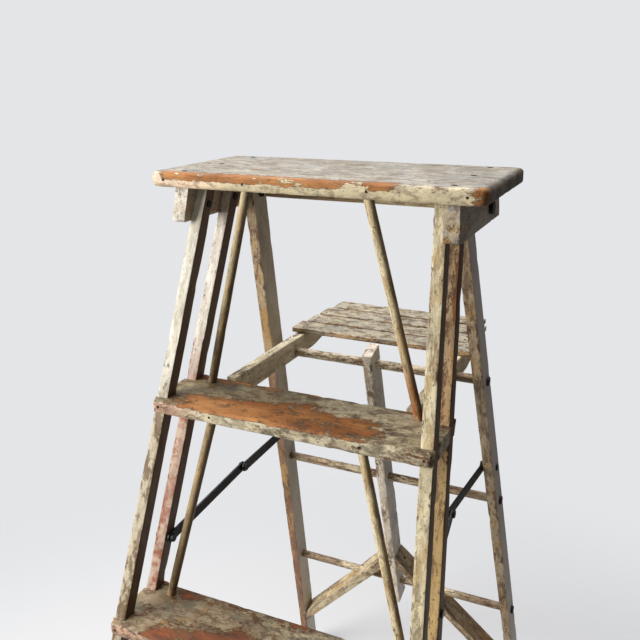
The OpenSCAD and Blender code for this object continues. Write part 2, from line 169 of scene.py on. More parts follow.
def bar(name, node, mat, origin, axes, span_a, span_b, ends, r=1.6, step=14, wobble=0.5,
        chips=1.6, mirror=False):
    """A sawn bar along axes[2]. ends are two functions of a line's start point and direction."""
    A, B, D = axes
    section = rounded_section(*span_a, *span_b, r)
    length = ends[1](origin, D) - ends[0](origin, D)
    steps = max(4, int(length / step))
    seed = seed_of(name) * 1000
    verts, grain, edge = [], [], []
    mid = Vector(((span_a[0] + span_a[1]) / 2, (span_b[0] + span_b[1]) / 2))

    def ring(fraction, shrink, pull):
        for a, b, na, nb, e in section:
            sa = a + (mid.x - a) * shrink
            sb = b + (mid.y - b) * shrink
            base = origin + A * sa + B * sb
            t0, t1 = ends[0](base, D), ends[1](base, D)
            t = t0 + (t1 - t0) * fraction + pull
            p = (a + seed.x, b + seed.y, t * 0.35 + seed.z)
            inward = rough(p, 60, wobble)
            if e:
                inward += chip(p, 9, chips)
            point = base + D * t - (A * na + B * nb) * inward
            if mirror:
                point = Vector((-point.x, point.y, point.z))
            verts.append(point)
            grain.append((a, b, t))
            edge.append(max(e, shrink * 3))

    ring(0, 0.10, 0)
    for i in range(steps + 1):
        f = i / steps
        ring(f, 0, r * 0.8 * (1 if i == 0 else -1 if i == steps else 0))
    ring(1, 0.10, 0)
    n = len(section)
    rings = steps + 3
    faces = [tuple(reversed(range(n)))]
    for k in range(rings - 1):
        for i in range(n):
            j = (i + 1) % n
            faces.append((k * n + i, k * n + j, (k + 1) * n + j, (k + 1) * n + i))
    faces.append(tuple(range((rings - 1) * n, rings * n)))
    return new_piece(name, verts, faces, grain, edge, node, mat)


def plane_end(point, normal):
    """The end of a bar on a plane: how far along D a line from base meets it."""
    return lambda base, D: (point - base).dot(normal) / D.dot(normal)


def rod(name, node, mat, start, end, r, ends=None, sides=16, step=12, wobble=0.45, chips=0.5):
    """A turned rod from start to end, with its ends cut on planes when they are given."""
    D = (end - start).normalized()
    side = D.orthogonal().normalized()
    if abs(D.x) < 0.9:
        side = D.cross(Vector((1, 0, 0))).normalized()
    up = D.cross(side)
    lo, hi = ends or (lambda b, d: (start - b).dot(d), lambda b, d: (end - b).dot(d))
    steps = max(4, int((end - start).length / step))
    seed = seed_of(name) * 1000
    verts, grain, edge = [], [], []

    def ring(fraction, scale, pull):
        for i in range(sides):
            t = 2 * math.pi * i / sides
            out = side * math.cos(t) + up * math.sin(t)
            base = start + out * r * scale
            t0, t1 = lo(base, D), hi(base, D)
            along = t0 + (t1 - t0) * fraction + pull
            p = (out.x * r + seed.x, out.z * r + seed.y, along * 0.3 + seed.z)
            dent = rough(p, 25, wobble) + chip(p, 7, chips, 0.4)
            verts.append(base + D * along - out * dent)
            grain.append((1.8 * r * math.cos(t), 1.8 * r * math.sin(t), 1.8 * along))
            edge.append(1.0 if scale < 1 or pull else 0.0)

    ring(0, 0.8, 0)
    for i in range(steps + 1):
        ring(i / steps, 1, 1.0 if i == 0 else -1.0 if i == steps else 0)
    ring(1, 0.8, 0)
    rings = steps + 3
    n = sides
    faces = [tuple(reversed(range(n)))]
    for k in range(rings - 1):
        for i in range(n):
            j = (i + 1) % n
            faces.append((k * n + i, k * n + j, (k + 1) * n + j, (k + 1) * n + i))
    faces.append(tuple(range((rings - 1) * n, rings * n)))
    return new_piece(name, verts, faces, grain, edge, node, mat)


def along_x(x, y, nx, ny):
    return abs(ny - y) < 0.1 * abs(nx - x)


def densify(points, step):
    """Splits each side of a closed outline into stretches no longer than step."""
    out = []
    for i, (x, y, free) in enumerate(points):
        nx, ny, nfree = points[(i + 1) % len(points)]
        n = max(1, int(math.hypot(nx - x, ny - y) / step))
        for k in range(n):
            f = k / n
            mixed = free + (nfree - free) * f if along_x(x, y, nx, ny) else min(free, nfree)
            out.append((x + (nx - x) * f, y + (ny - y) * f, free if k == 0 else mixed))
    return out


def arc(cx, cy, r, start, sweep, steps=6):
    return [(cx + r * math.cos(math.radians(start + sweep * i / steps)),
             cy + r * math.sin(math.radians(start + sweep * i / steps)), 1) for i in range(steps + 1)]


def plate(name, node, mat, outline, thickness, place, grain_of, r=3.0, skew=(0, 0), step=9,
          wobble=0.5, chips=2.0, mirror=False, r_low=None):
    """A board: an outline (u, v, free) raised through its thickness, with rounded free edges.

    free runs from 0 to 1. At 0, as in a notch, an edge isn't rounded or worn, and it shifts by
    skew per mm of depth below the top face.
    """
    r_low = r if r_low is None else r_low
    pts = densify(outline, step)
    n = len(pts)
    seed = seed_of(name) * 1000
    area = sum(pts[i][0] * pts[(i + 1) % n][1] - pts[(i + 1) % n][0] * pts[i][1] for i in range(n))
    turn = 1 if area > 0 else -1
    normals = []
    for i in range(n):
        a, b = Vector(pts[i - 1][:2]), Vector(pts[(i + 1) % n][:2])
        d = (b - a).normalized()
        normals.append(Vector((d.y, -d.x)) * turn)
    quarter = [math.radians(q) for q in (0, 30, 60, 90)]
    profile = [(r_low * (1 - math.sin(q)), r_low * (1 - math.cos(q)), 1.0) for q in quarter]
    profile += [(r * (1 - math.cos(q)), thickness - r * (1 - math.sin(q)), 1.0) for q in quarter]
    verts, grain, edge = [], [], []
    for inset, w, e in profile:
        for (u, v, free), nm in zip(pts, normals):
            depth = (thickness - w) * (1 - free)
            p = (u + seed.x, v + seed.y, w + seed.z)
            pull = (inset + rough(p, 45, wobble) + chip(p, 11, chips)) * free
            q = Vector((u + skew[0] * depth, v + skew[1] * depth)) - nm * pull
            point = place(q.x, q.y, w)
            if mirror:
                point = Vector((-point.x, point.y, point.z))
            verts.append(point)
            grain.append(grain_of(q.x, q.y, w))
            edge.append(e * free)
    faces = [tuple(reversed(range(n)))]
    for k in range(len(profile) - 1):
        for i in range(n):
            j = (i + 1) % n
            faces.append((k * n + i, k * n + j, (k + 1) * n + j, (k + 1) * n + i))
    last = (len(profile) - 1) * n
    faces.append(tuple(range(last, last + n)))
    return new_piece(name, verts, faces, grain, edge, node, mat)


# ---------------------------------------------------------------- shader graphs
class Graph:
    """Short calls that add and join shader nodes."""

    def __init__(self, name):
        self.mat = bpy.data.materials.new(name)
        self.mat.use_nodes = True
        self.tree = self.mat.node_tree
        self.tree.nodes.clear()
        self.out = self.tree.nodes.new("ShaderNodeOutputMaterial")
        self.bsdf = self.tree.nodes.new("ShaderNodeBsdfPrincipled")
        self.join(self.bsdf.outputs[0], self.out.inputs[0])

    def join(self, a, b):
        self.tree.links.new(a, b)

    def put(self, socket, value):
        if hasattr(value, "is_output"):
            self.join(value, socket)
        else:
            socket.default_value = value

    def attribute(self, name):
        n = self.tree.nodes.new("ShaderNodeAttribute")
        n.attribute_name = name
        return n

    def place(self):
        return self.tree.nodes.new("ShaderNodeTexCoord").outputs["Object"]

    def facing(self, axis):
        """How far a face looks along one of the object's own axes, from -1 to 1."""
        return self.split(self.tree.nodes.new("ShaderNodeTexCoord").outputs["Normal"])[axis]

    def stretch(self, vector, scale, shift=(0, 0, 0)):
        n = self.tree.nodes.new("ShaderNodeMapping")
        self.join(vector, n.inputs["Vector"])
        n.inputs["Scale"].default_value = scale
        n.inputs["Location"].default_value = shift
        return n.outputs[0]

    def noise(self, vector, scale, detail=6.0, roughness=0.6, distortion=0.0):
        n = self.tree.nodes.new("ShaderNodeTexNoise")
        self.join(vector, n.inputs["Vector"])
        n.inputs["Scale"].default_value = scale
        n.inputs["Detail"].default_value = detail
        n.inputs["Roughness"].default_value = roughness
        n.inputs["Distortion"].default_value = distortion
        return n.outputs["Fac"]

    def math(self, kind, a, b=0.0, c=0.0, clamp=False):
        n = self.tree.nodes.new("ShaderNodeMath")
        n.operation = kind
        n.use_clamp = clamp
        for s, v in zip(n.inputs, (a, b, c)):
            self.put(s, v)
        return n.outputs[0]

    def band(self, value, lo, hi, to=(0.0, 1.0)):
        """Maps value from lo..hi to the given range, smoothly and clamped."""
        n = self.tree.nodes.new("ShaderNodeMapRange")
        n.interpolation_type = "SMOOTHSTEP"
        self.put(n.inputs["Value"], value)
        n.inputs["From Min"].default_value = lo
        n.inputs["From Max"].default_value = hi
        n.inputs["To Min"].default_value = to[0]
        n.inputs["To Max"].default_value = to[1]
        return n.outputs[0]

    def mix(self, factor, a, b, blend="MIX"):
        n = self.tree.nodes.new("ShaderNodeMix")
        n.data_type = "RGBA"
        n.blend_type = blend
        self.put(n.inputs[0], factor)
        for s, v in ((n.inputs[6], a), (n.inputs[7], b)):
            self.put(s, v if hasattr(v, "is_output") else (*v, 1.0))
        return n.outputs[2]

    def split(self, vector):
        n = self.tree.nodes.new("ShaderNodeSeparateXYZ")
        self.join(vector, n.inputs[0])
        return n.outputs

    def bump(self, height, strength, distance):
        n = self.tree.nodes.new("ShaderNodeBump")
        n.inputs["Strength"].default_value = strength
        n.inputs["Distance"].default_value = distance
        self.join(height, n.inputs["Height"])
        return n.outputs[0]


# Linear colours that several materials share
WHITE = (0.82, 0.79, 0.70)
CREAM = (0.70, 0.62, 0.44)
TAN = (0.42, 0.30, 0.17)
OLIVE = (0.19, 0.17, 0.11)
PINK = (0.62, 0.38, 0.27)
ORANGE = (0.34, 0.120, 0.028)
ORANGE_PALE = (0.54, 0.24, 0.075)
OCHRE = (0.40, 0.24, 0.09)
RUST = (0.28, 0.09, 0.035)
BROWN = (0.10, 0.052, 0.028)
DARK = (0.022, 0.015, 0.011)


def worn_timber(name, paints, under, woods, bare=0.6, under_at=0.09, edge_wear=0.12, dirt=0.5,
                streak=0.3, patch=30.0, wear_by=None, tints=None, side_light_shade_dirt=0.35, fibres=0.5, gloss=0.5,
                soft=0.035, ends=0.0, speck=0.85, side_light_shade_dirt_colour=BROWN, clean_by=None):
    """Chipped and stained paint over old wood, with a colour laid on the faces that look along the
    object's +X: painted shade with dirt where it is dark, painted light where it is a pale grey.

    paints are the main coat, its second tone and a stain. bare is the wear above which the wood
    shows, so a lower value is a barer piece. wear_by returns a value added to the wear, and
    tints returns (factor, colour) pairs laid over the paint. clean_by returns how much of the
    mottle and the stains is kept off.
    """
    g = Graph(name)
    grain = g.attribute("grain").outputs["Vector"]
    edge = g.attribute("edge").outputs["Fac"]
    fibre = g.noise(g.stretch(grain, (1, 1, 0.05)), 620, 5, 0.65)
    figure = g.noise(g.stretch(grain, (1, 1, 0.12)), 90, 4, 0.6, 0.6)
    patches = g.noise(g.stretch(grain, (1, 1, streak)), patch, 9, 0.72, 0.35)
    flakes = g.noise(g.stretch(grain, (1, 1, 0.5), (1, 5, 2)), 130, 8, 0.78, 0.3)
    flecks = g.noise(g.stretch(grain, (1, 1, 0.4), (3, 1, 7)), 330, 6, 0.7)
    wear = g.math("MULTIPLY_ADD", patches, 0.85, g.math("MULTIPLY_ADD", flakes, 0.6,
                                                        g.math("MULTIPLY_ADD", flecks, 0.4, -0.425)))
    rim = g.band(g.noise(grain, 17, 5, 0.7), 0.42, 0.62)
    wear = g.math("ADD", wear, g.math("MULTIPLY", g.math("MULTIPLY", edge, edge_wear), rim))
    if wear_by:
        wear = g.math("ADD", wear, wear_by(g))
    to_wood = g.band(wear, bare, bare + soft)
    to_under = g.band(wear, bare - under_at, bare - under_at + soft)

    tone = g.noise(g.stretch(grain, (1, 1, 0.3), (9, 4, 2)), 24, 5, 0.6)
    timber = g.mix(g.band(tone, 0.35, 0.65), *woods)
    timber = g.mix(g.band(fibre, 0.42, 0.62, (0.0, fibres)), timber, BROWN)
    timber = g.mix(g.band(figure, 0.55, 0.75, (0.0, fibres)), timber, DARK)
    mottle = g.noise(g.stretch(grain, (1, 1, 0.45), (5, 8, 1)), 60, 8, 0.74)
    paint = paints[0]
    for factor, colour in (tints(g) if tints else []):
        paint = g.mix(factor, paint, colour)
    kept = g.math("SUBTRACT", 1.0, clean_by(g)) if clean_by else 1.0
    second = g.math("MULTIPLY", kept, g.band(mottle, 0.46, 0.54, (0.0, 0.9)))
    paint = g.mix(second, paint, g.mix(0.5, paint, paints[1]))
    stain = g.noise(g.stretch(grain, (1, 1, streak), (2, 9, 6)), 38, 9, 0.76)
    paint = g.mix(g.math("MULTIPLY", kept, g.band(stain, 0.50, 0.57, (0.0, 0.85))), paint, paints[2])
    below = g.mix(g.band(flecks, 0.44, 0.56), under, [c * 0.6 for c in under])
    colour = g.mix(to_under, paint, below)
    colour = g.mix(to_wood, colour, timber)
    grime = g.noise(g.stretch(grain, (1, 1, streak * 0.8), (2, 6, 3)), 75, 9, 0.78, 0.4)
    grime = g.math("MULTIPLY_ADD", to_wood, -0.03, grime)
    colour = g.mix(g.band(grime, 0.50, 0.58, (0.0, dirt)), colour, BROWN)
    specks = g.noise(g.stretch(grain, (1, 1, 0.7), (8, 2, 5)), 330, 4, 0.65)
    specks = g.math("MULTIPLY_ADD", to_wood, -0.03, specks)
    colour = g.mix(g.band(specks, 0.60, 0.66, (0.0, speck)), colour, DARK)
    if ends:
        colour = g.mix(g.math("MULTIPLY", edge, ends), colour, DARK)
    # Painted light and shade: faces that look along the object's +X are mixed towards the side colour,
    # a dark brown that paints shade along with dirt on most pieces, a pale grey that paints light on
    # the rear rails and the stile.
    colour = g.mix(g.band(g.facing(0), 0.3, 0.9, (0.0, side_light_shade_dirt)), colour, side_light_shade_dirt_colour)
    g.join(colour, g.bsdf.inputs["Base Color"])
    g.join(g.band(wear, bare - 0.1, bare + 0.05, (gloss, 0.7)), g.bsdf.inputs["Roughness"])
    g.bsdf.inputs["Specular IOR Level"].default_value = 0.28
    step = g.math("MULTIPLY", g.math("SUBTRACT", 1.0, to_wood), 0.55)
    step = g.math("MULTIPLY_ADD", g.math("SUBTRACT", 1.0, to_under), 0.35, step)
    height = g.math("MULTIPLY_ADD", fibre, 0.35, step)
    height = g.math("MULTIPLY_ADD", mottle, 0.8, height)
    g.join(g.bump(height, 0.6, 0.0008), g.bsdf.inputs["Normal"])
    return g.mat


def steel(name, base, worn, amount, roughness):
    """Black or rusted steel with wear and fine pitting, from the object's own coordinates."""
    g = Graph(name)
    place = g.place()
    spots = g.noise(place, 140, 8, 0.7)
    pits = g.noise(place, 900, 3, 0.6)
    mask = g.band(spots, amount, amount + 0.08)
    colour = g.mix(mask, base, worn)
    colour = g.mix(g.band(pits, 0.55, 0.7, (0.0, 0.6)), colour, [c * 0.3 for c in base])
    g.join(colour, g.bsdf.inputs["Base Color"])
    g.bsdf.inputs["Metallic"].default_value = 0.55
    g.join(g.band(spots, 0.3, 0.7, (roughness - 0.1, roughness + 0.2)), g.bsdf.inputs["Roughness"])
    g.join(g.bump(g.math("ADD", spots, g.math("MULTIPLY", pits, 0.4)), 0.35, 0.0004),
           g.bsdf.inputs["Normal"])
    return g.mat


# ---------------------------------------------------------------- wear and tints of single pieces
def cap_wear(g):
    """Bare wood on the upper half of the cap's front edge and in a strip behind it."""
    x, y, z = g.split(g.place())
    drift = g.math("MULTIPLY_ADD", g.noise(g.place(), 30, 7, 0.75), 0.05, -0.025)
    behind = g.math("ADD", y, drift)
    strip = g.band(behind, (CAP_FRONT + 22) * MM, (CAP_FRONT + 6) * MM, (0.0, 0.34))
    ends = g.math("MULTIPLY", g.band(x, 0.16, 0.06, (0.25, 1.0)), g.band(x, -0.228, -0.205))
    scratch = g.noise(g.stretch(g.place(), (0.35, 1, 1)), 55, 8, 0.74)
    height = g.math("MULTIPLY_ADD", drift, 0.3, z)
    top = g.band(height, (TOP - 12.5) * MM, (TOP - 8) * MM, (-0.7, 1.0))
    worn = g.math("MULTIPLY", g.math("MULTIPLY", strip, ends), top)
    worn = g.math("MULTIPLY", worn, g.band(scratch, 0.60, 0.52, (0.15, 1.0)))
    corner = g.math("MULTIPLY", g.band(x, 0.206, 0.230), g.band(y, -0.078, -0.090))
    return g.math("MULTIPLY_ADD", corner, 0.24, worn)


def cap_clean(g):
    """The cap's front edge is less mottled than its top."""
    return g.band(g.split(g.place())[1], (CAP_FRONT + 9) * MM, (CAP_FRONT + 4) * MM, (0.0, 0.7))


def cap_tints(g):
    """Cream paint on the edges, pinkish white at the front edge's left end, and a dark right end that
    is painted shade, as it faces away from the light.
    """
    x, y, _ = g.split(g.place())
    front = g.band(y, (CAP_FRONT + 9) * MM, (CAP_FRONT + 4) * MM)
    cloud = g.noise(g.place(), 17, 8, 0.72)
    return [(g.band(cloud, 0.50, 0.58, (0.0, 0.6)), (0.26, 0.20, 0.13)),
            (g.band(cloud, 0.46, 0.40, (0.0, 0.6)), (0.33, 0.34, 0.34)),
            (front, (0.72, 0.62, 0.40)),
            (g.math("MULTIPLY", front, g.band(x, -0.10, -0.17)), (0.92, 0.70, 0.50)),
            # Painted shade on the cap's right end.
            (g.band(x, 0.222, 0.230, (0.0, 0.9)), (0.13, 0.11, 0.09))]


def tread_wear(z_top, rubbed):
    """Bare wood where feet have rubbed the front half of a tread's top, and its rear edge."""
    def wear(g):
        x, y, z = g.split(g.place())
        drift = g.noise(g.stretch(g.place(), (0.5, 1, 1)), 24, 8, 0.75)
        drift = g.math("MULTIPLY_ADD", drift, 0.10, -0.05)
        depth = g.math("ADD", g.math("SUBTRACT", y, (front_y(z_top) - TREAD_LIP) * MM), drift)
        depth = g.math("MULTIPLY_ADD", g.band(x, -0.02, -0.17), 0.014, depth)
        right = g.band(g.math("ADD", x, drift), 0.155, 0.085)
        sides = g.math("MULTIPLY", right, g.band(x, -0.19, -0.14))
        rub = g.math("MULTIPLY", g.band(depth, -0.022, -0.004), g.band(depth, 0.072, 0.042))
        rub = g.math("MULTIPLY", sides, rub)
        top = g.band(z, (z_top - 6) * MM, (z_top - 2) * MM)
        rear = g.math("MULTIPLY", g.band(depth, 0.098, 0.112), 0.16)
        return g.math("MULTIPLY", top, g.math("MULTIPLY_ADD", rub, rubbed, rear))
    return wear


def tread_tints(z_top, base, stain):
    """Khaki on a tread's top with a cream right end, and cream on its nose, pink at the left."""
    def tints(g):
        x, _, z = g.split(g.place())
        top = g.band(z, (z_top - 5) * MM, (z_top - 1.5) * MM)
        blotch = g.noise(g.place(), 48, 9, 0.78)
        cream = g.math("MULTIPLY", g.band(x, -0.04, 0.10), g.band(blotch, 0.46, 0.53))
        ochre = g.math("MULTIPLY", g.band(x, 0.02, -0.10, (0.3, 1.0)), g.band(blotch, 0.47, 0.40))
        dark = g.math("MULTIPLY", top, g.band(x, 0.06, -0.06, (0.3, 1.0)))
        side = g.math("MULTIPLY", g.math("SUBTRACT", 1.0, top), g.band(x, -0.10, -0.19))
        return [(g.math("MULTIPLY", top, 0.9), base),
                (g.math("MULTIPLY", top, g.band(x, -0.02, 0.08, (0.0, 0.85))), (0.78, 0.67, 0.46)),
                (g.math("MULTIPLY", dark, g.band(blotch, 0.50, 0.44, (0.0, 0.75))), stain),
                (g.math("MULTIPLY", top, ochre), OCHRE),
                (g.math("MULTIPLY", top, cream), (0.66, 0.56, 0.36)),
                (side, PINK)]
    return tints


def tread_paint(which, z_top):
    """The upper tread is rubbed to orange wood, the ones below it to red and dark brown."""
    if which == "upper":
        woods, rubbed = ((0.58, 0.26, 0.085), (0.35, 0.12, 0.032)), 0.27
        base, stain = (0.36, 0.29, 0.165), (0.12, 0.095, 0.06)
    else:
        woods, rubbed = ((0.30, 0.085, 0.030), (0.065, 0.030, 0.020)), 0.27
        base, stain = (0.36, 0.27, 0.16), (0.15, 0.07, 0.035)
    return worn_timber("tread_paint_" + which, (CREAM, (0.20, 0.15, 0.09), OLIVE), (0.20, 0.11, 0.05),
                       woods, bare=0.66, under_at=0.08, edge_wear=0.05, dirt=0.7, patch=34,
                       wear_by=tread_wear(z_top, rubbed), tints=tread_tints(z_top, base, stain),
                       side_light_shade_dirt=0.3, fibres=0.35, gloss=0.42, soft=0.08, streak=0.6)


def red_below(g):
    """Pink-red undercoat that shows more towards the foot."""
    z = g.split(g.place())[2]
    blotch = g.band(g.noise(g.place(), 30, 8, 0.7), 0.40, 0.54)
    low = g.band(z, 1.0, 0.86, (0.10, 1.0))
    return [(g.math("MULTIPLY", low, 0.7), (0.46, 0.25, 0.15)),
            (g.math("MULTIPLY", low, blotch), (0.32, 0.105, 0.05))]


def clean_below(g):
    """The lower halves of the left rails keep one colour."""
    return g.band(g.split(g.place())[2], 1.0, 0.86, (0.0, 0.7))


def golden_below(g):
    """Golden ochre paint on the lower half of the right back rail."""
    return [(g.band(g.split(g.place())[2], 0.95, 0.80, (0.0, 0.9)), (0.62, 0.43, 0.19))]


def painted_below(g):
    """Less bare wood on the lower half of the right back rail."""
    return g.band(g.split(g.place())[2], 0.95, 0.80, (0.0, -0.12))


def shade_and_stains_below(g):
    """Khaki below the upper tread, a painted shade under it, with tan stains there too."""
    low = g.band(g.split(g.place())[2], 0.96, 0.88)
    streaks = g.noise(g.stretch(g.place(), (1, 1, 0.2)), 60, 8, 0.72)
    # The khaki tint paints shade under the upper tread; the streaks are stains.
    return [(g.math("MULTIPLY", low, 0.8), (0.50, 0.41, 0.26)),
            (g.math("MULTIPLY", low, g.band(streaks, 0.49, 0.55)), (0.17, 0.10, 0.045))]


def rod_foot(g):
    """Rust-orange at the right upper rod's foot, dark olive at the left one's."""
    x, _, z = g.split(g.place())
    low = g.band(z, 1.01, 0.95)
    return [(g.math("MULTIPLY", low, g.band(x, -0.01, 0.01)), (0.33, 0.10, 0.03)),
            (g.math("MULTIPLY", g.band(z, 1.16, 0.99, (0.35, 0.9)), g.band(x, 0.01, -0.01)),
             (0.15, 0.11, 0.055))]


def rung_shade_and_dirt(g):
    """Darker brown on the rungs beside the shelf's arms and the rails: painted shade where the parts
    meet, with dirt.
    """
    x = g.math("ABSOLUTE", g.split(g.place())[0])
    # Painted shade where the rungs meet the arms and rails, along with dirt.
    return [(g.band(x, 0.118, 0.140, (0.0, 0.75)), BROWN)]


def slat_front(g):
    """Tan wood on the slats' front edges."""
    return [(g.band(g.facing(1), -0.5, -0.9, (0.0, 0.8)), (0.50, 0.29, 0.12))]


def rear_left_front(g):
    """Red-brown paint low on the front of the left rear rail."""
    front = g.band(g.facing(1), -0.5, -0.85)
    low = g.band(g.split(g.place())[2], 0.90, 0.80, (0.25, 0.95))
    return [(g.math("MULTIPLY", front, low), (0.20, 0.075, 0.04))]


def rod_left(g):
    """The left rods are rustier than the right ones."""
    x = g.split(g.place())[0]
    return [(g.band(x, 0.01, -0.01, (0.0, 0.75)), (0.24, 0.14, 0.06))]


# ---------------------------------------------------------------- the materials
# Each material's side amount and side colour paint shade, with dirt, or light on the faces that look
# along +X.
mat_cap = worn_timber("cap_paint", ((0.46, 0.42, 0.34), (0.20, 0.17, 0.13), (0.27, 0.25, 0.22)),
                      (0.30, 0.19, 0.11), (ORANGE_PALE, ORANGE), bare=0.70, under_at=0.08,
                      edge_wear=0.05, dirt=0.5, patch=30, wear_by=cap_wear, tints=cap_tints,
                      side_light_shade_dirt=0.4, fibres=0.35, soft=0.06, speck=0.6, streak=0.7, clean_by=cap_clean)
mat_rail = worn_timber("rail_paint", (WHITE, (0.56, 0.50, 0.36), (0.62, 0.57, 0.45)),
                       (0.34, 0.29, 0.19), (TAN, BROWN), bare=0.74, under_at=0.09,
                       edge_wear=0.07, dirt=0.3, patch=28, side_light_shade_dirt=0.92, speck=0.35,
                       tints=shade_and_stains_below, clean_by=clean_below)
mat_rail_red = worn_timber("rail_paint_rubbed", (WHITE, (0.54, 0.45, 0.39), (0.54, 0.45, 0.40)),
                           (0.42, 0.20, 0.12), (RUST, BROWN), bare=0.70, under_at=0.09, edge_wear=0.07,
                           dirt=0.35, patch=24, tints=red_below, side_light_shade_dirt=0.92, speck=0.5,
                           clean_by=clean_below)
mat_rail_khaki = worn_timber("rail_paint_stained",
                             ((0.76, 0.67, 0.45), (0.32, 0.27, 0.16), (0.50, 0.36, 0.18)),
                             (0.24, 0.17, 0.09), (OCHRE, BROWN), bare=0.67, under_at=0.07, dirt=0.55,
                             patch=30, side_light_shade_dirt=0.9, speck=0.7)
mat_rail_bare = worn_timber("rail_rubbed_bare", ((0.52, 0.36, 0.20), (0.24, 0.14, 0.07), OCHRE),
                            (0.24, 0.12, 0.055), ((0.36, 0.14, 0.045), BROWN), bare=0.58, under_at=0.07,
                            dirt=0.7, patch=26, side_light_shade_dirt=0.92, tints=golden_below,
                            wear_by=painted_below, clean_by=clean_below)
mat_rear = worn_timber("rear_paint", ((0.58, 0.48, 0.31), (0.24, 0.18, 0.10), OCHRE),
                       (0.22, 0.14, 0.08), ((0.26, 0.13, 0.06), BROWN), bare=0.63, under_at=0.07,
                       dirt=0.7, patch=28, side_light_shade_dirt=0.6)
mat_rear_left = worn_timber("rear_paint_left", ((0.58, 0.48, 0.31), (0.24, 0.18, 0.10), OCHRE),
                            (0.22, 0.14, 0.08), ((0.26, 0.13, 0.06), BROWN), bare=0.64, under_at=0.07,
                            dirt=0.7, patch=28, side_light_shade_dirt=0.7, side_light_shade_dirt_colour=(0.56, 0.50, 0.42),
                            tints=rear_left_front)
# The pale grey side colour paints light on this rail's outer face.
mat_rear_right = worn_timber("rear_paint_right", ((0.44, 0.35, 0.23), (0.22, 0.15, 0.08), OCHRE),
                             (0.20, 0.13, 0.07), ((0.26, 0.13, 0.06), BROWN), bare=0.63, under_at=0.07,
                             dirt=0.7, patch=28, side_light_shade_dirt=0.75, side_light_shade_dirt_colour=(0.60, 0.54, 0.52))
# The pale grey side colour paints light on the stile's right face.
mat_stile = worn_timber("stile_paint", ((0.74, 0.65, 0.53), (0.44, 0.37, 0.30), (0.48, 0.36, 0.24)),
                        (0.26, 0.20, 0.14), (TAN, BROWN), bare=0.66, under_at=0.07, dirt=0.5,
                        patch=34, side_light_shade_dirt=0.55, side_light_shade_dirt_colour=(0.74, 0.71, 0.67))
def rod_paint(name, tints):
    return worn_timber(name, ((0.78, 0.66, 0.42), (0.36, 0.27, 0.14), (0.48, 0.33, 0.16)),
                       (0.26, 0.18, 0.09), ((0.40, 0.17, 0.07), RUST), bare=0.68, under_at=0.07,
                       dirt=0.6, patch=34, side_light_shade_dirt=0.7, tints=tints)


mat_rod = rod_paint("rod_paint", rod_left)
mat_rod_upper = rod_paint("rod_paint_upper", rod_foot)
mat_rung = worn_timber("rung_paint", ((0.66, 0.56, 0.38), (0.28, 0.21, 0.13), TAN), (0.20, 0.13, 0.08),
                       (BROWN, (0.25, 0.13, 0.07)), bare=0.60, under_at=0.07, dirt=0.8, patch=60,
                       side_light_shade_dirt=0.3, tints=rung_shade_and_dirt, ends=0.9)
mat_slat = worn_timber("slat_wood", ((0.46, 0.40, 0.29), (0.26, 0.21, 0.14), (0.30, 0.29, 0.24)),
                       (0.24, 0.17, 0.10), ((0.46, 0.26, 0.11), BROWN), bare=0.63, under_at=0.07,
                       edge_wear=0.16, dirt=0.75, patch=60, side_light_shade_dirt=0.3, streak=0.7, tints=slat_front)
mat_arm = worn_timber("arm_paint", ((0.80, 0.71, 0.50), (0.42, 0.34, 0.21), (0.44, 0.35, 0.22)),
                      (0.28, 0.22, 0.14), (TAN, BROWN), bare=0.70, under_at=0.08, dirt=0.35, patch=20,
                      side_light_shade_dirt=0.3, speck=0.6, side_light_shade_dirt_colour=(0.50, 0.38, 0.22))
mat_bracket = worn_timber("bracket_paint", ((0.56, 0.46, 0.31), (0.28, 0.25, 0.21), (0.22, 0.22, 0.23)),
                          OCHRE, (OCHRE, BROWN), bare=0.66, under_at=0.08, dirt=0.5, patch=30,
                          side_light_shade_dirt=0.5, side_light_shade_dirt_colour=(0.36, 0.31, 0.28))
mat_bracket_left = worn_timber("bracket_paint_left", (WHITE, (0.56, 0.50, 0.40), (0.62, 0.52, 0.40)),
                               (0.34, 0.27, 0.18), (TAN, BROWN), bare=0.70, under_at=0.08, dirt=0.4,
                               patch=30, side_light_shade_dirt=0.6, side_light_shade_dirt_colour=(0.30, 0.19, 0.10))
mat_black = steel("black_steel", (0.018, 0.018, 0.020), (0.10, 0.06, 0.04), 0.66, 0.42)
mat_rust = steel("rusted_nails", (0.035, 0.02, 0.014), (0.12, 0.05, 0.025), 0.5, 0.7)

# ---------------------------------------------------------------- front section
N = Vector((math.cos(SPLAY), 0, math.sin(SPLAY)))
V = Vector((-math.sin(SPLAY), 0, math.cos(SPLAY)))
ACROSS = Vector((1, 0, 0))
Y = Vector((0, 1, 0))
UP = Vector((0, 0, 1))
FOOT = Vector((BASE_HALF, 0, 0))
FLOOR_END = plane_end(Vector((0, 0, 0)), UP)
CAP_END = plane_end(Vector((0, 0, CAP_BOTTOM)), UP)


def side_axes(tilt):
    """Across, depth and length of a bar in the right side plane that leans back by tilt."""
    return N, Y * math.cos(tilt) - V * math.sin(tilt), Y * math.sin(tilt) + V * math.cos(tilt)


def front_rails():
    for side, front_paint, back_paint in (("left", mat_rail, mat_rail_red),
                                          ("right", mat_rail_khaki, mat_rail_bare)):
        for row, y, paint in (("front", front_y(0), front_paint), ("back", back_y(0), back_paint)):
            node = "%s_rail_%s" % (row, side)
            bar("timber_" + node, node, paint, FOOT + Y * y, side_axes(FRONT_TILT), (-RAIL_W, 0),
                (0, RAIL_D), (FLOOR_END, CAP_END), mirror=side == "left")


